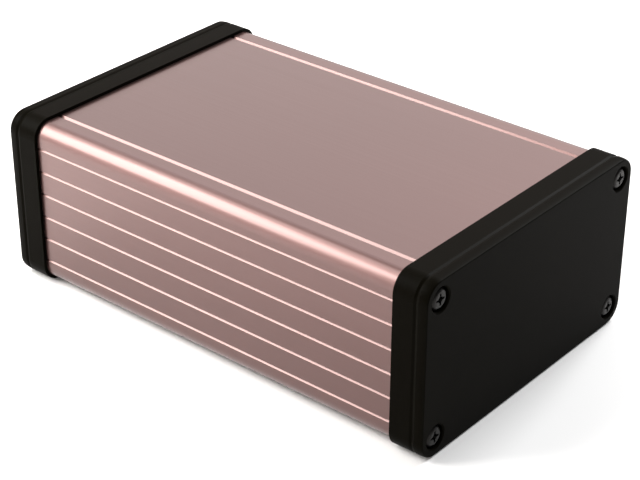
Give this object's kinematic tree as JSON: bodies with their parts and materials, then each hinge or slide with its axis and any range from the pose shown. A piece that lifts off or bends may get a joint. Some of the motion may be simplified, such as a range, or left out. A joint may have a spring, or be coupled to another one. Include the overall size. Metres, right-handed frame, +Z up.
{
  "type": "extruded enclosure",
  "caption": "Rectangular extruded aluminium enclosure with grooved sides, a slide-out cover and moulded end caps held by screws.",
  "frame": {"origin": "middle of the footprint, on the surface that the end caps stand on", "axes": "+X along the extrusion's length, +Y across its width, +Z up through the slide cover"},
  "size_m": [0.1272, 0.0798, 0.0448],
  "materials": {
    "anodised_aluminium": "satin clear anodised, fine lines along the extrusion",
    "cap_plastic": "black, fine moulded texture",
    "black_screws": "black oxide"
  },
  "bodies": {
    "root": {"body_extrusion": "anodised_aluminium", "slide_cover": "anodised_aluminium", "left_end_cap": "cap_plastic", "right_end_cap": "cap_plastic", "left_screw_front_lower": "black_screws", "left_screw_rear_lower": "black_screws", "left_screw_front_upper": "black_screws", "left_screw_rear_upper": "black_screws", "right_screw_front_lower": "black_screws", "right_screw_rear_lower": "black_screws", "right_screw_front_upper": "black_screws", "right_screw_rear_upper": "black_screws"}
  },
  "joints": []
}
